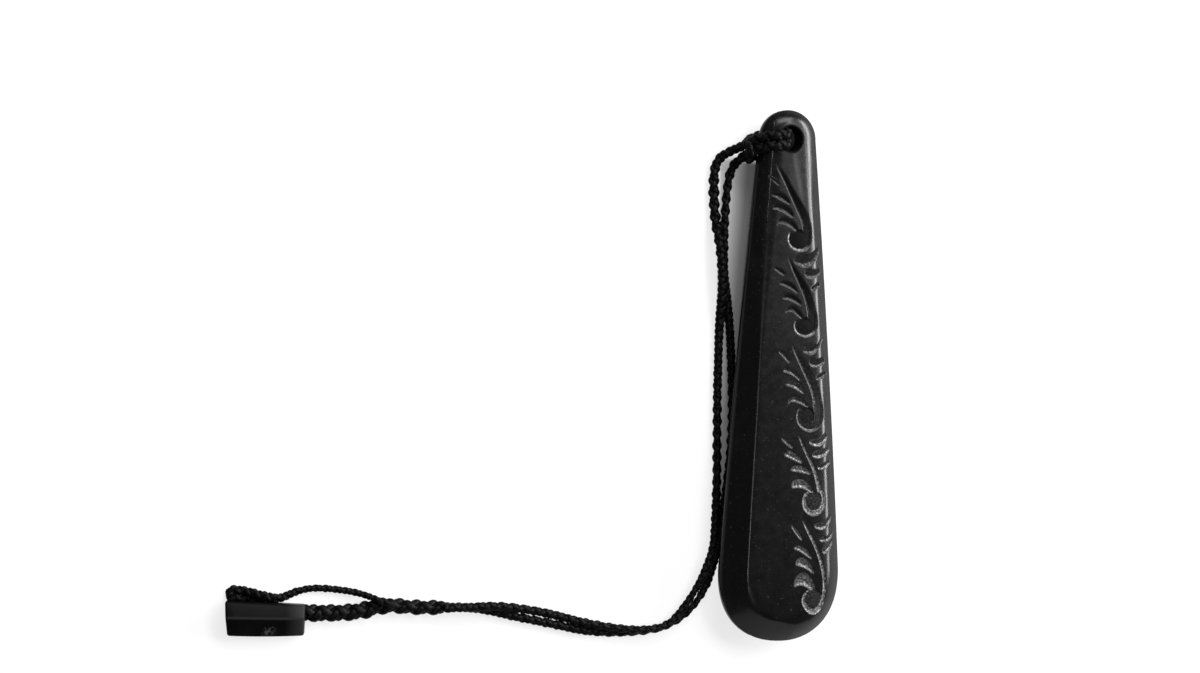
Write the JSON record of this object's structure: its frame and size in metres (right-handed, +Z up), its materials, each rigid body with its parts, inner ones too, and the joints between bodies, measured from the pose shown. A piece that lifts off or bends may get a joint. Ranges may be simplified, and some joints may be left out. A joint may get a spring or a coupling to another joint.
{
  "type": "toki adze pendant",
  "caption": "Long stone adze pendant with bevelled edges and a carved scroll, drilled at the head, on a plaited double cord closed by a toggle and loop.",
  "frame": {"origin": "on the surface, under the middle of the stone, which lies on its flat back", "axes": "+Y towards the drilled head, +Z up out of the carved face, +X to the stone's right as its face is seen"},
  "size_m": [0.1652, 0.14, 0.013],
  "materials": {
    "stone": "polished dark argillite with matt carved grooves",
    "cord": "plaited waxed thread, black",
    "toggle_stone": "satin dark stone"
  },
  "bodies": {
    "root": {"adze_stone": "stone", "strand_upper": "cord", "strand_lower": "cord", "hitch_band": "cord", "toggle_plait": "cord", "closure_loop": "cord", "toggle": "toggle_stone"}
  },
  "joints": []
}
